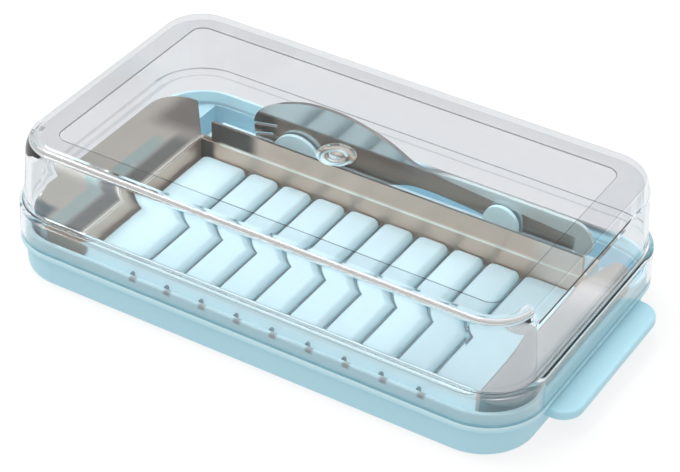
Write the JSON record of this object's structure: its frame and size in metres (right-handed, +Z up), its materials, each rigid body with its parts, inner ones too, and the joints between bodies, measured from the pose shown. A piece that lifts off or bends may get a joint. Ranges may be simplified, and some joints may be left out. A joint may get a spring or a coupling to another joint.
{
  "type": "butter dish with cutter",
  "caption": "Covered butter dish with a lift-out wire cutting frame, grooved tray and a butter knife stored on edge behind the butter.",
  "frame": {"origin": "middle of the tray's underside, in the plane it stands on, midway between the two long sides and between the two rounded ends, without the handle tab", "axes": "+X along the dish towards the handle tab, +Y towards the knife rack, +Z up"},
  "size_m": [0.1899, 0.1058, 0.0472],
  "materials": {
    "tray_plastic": "satin light-blue polypropylene",
    "clear_plastic": "clear polished styrene",
    "sheet_steel": "bright rolled stainless sheet",
    "wire_steel": "drawn stainless wire",
    "knife_steel": "polished stainless"
  },
  "bodies": {
    "base": {"base_tray": "tray_plastic"},
    "lid": {"lid": "clear_plastic"},
    "cutter": {"cutter_frame": "sheet_steel", "cutting_wire_1": "wire_steel", "cutting_wire_2": "wire_steel", "cutting_wire_3": "wire_steel", "cutting_wire_4": "wire_steel", "cutting_wire_5": "wire_steel", "cutting_wire_6": "wire_steel", "cutting_wire_7": "wire_steel", "cutting_wire_8": "wire_steel", "cutting_wire_9": "wire_steel", "front_wire_crimps": "wire_steel", "rear_wire_crimps": "wire_steel"},
    "knife": {"butter_knife": "knife_steel"}
  },
  "joints": [
    {"name": "lid_lift", "type": "slide", "parent": "base", "child": "lid", "axis": [0, 0, 1], "range_m": [0, 0.12]},
    {"name": "cutter_lift", "type": "slide", "parent": "base", "child": "cutter", "axis": [0, 0, 1], "range_m": [0, 0.06]},
    {"name": "knife_lift", "type": "slide", "parent": "base", "child": "knife", "axis": [0, 0, 1], "range_m": [0, 0.036]}
  ],
  "couplings": [
    {"joint": "cutter_lift", "follows": "lid_lift", "ratio": 0.5},
    {"joint": "knife_lift", "follows": "lid_lift", "ratio": 0.3}
  ]
}
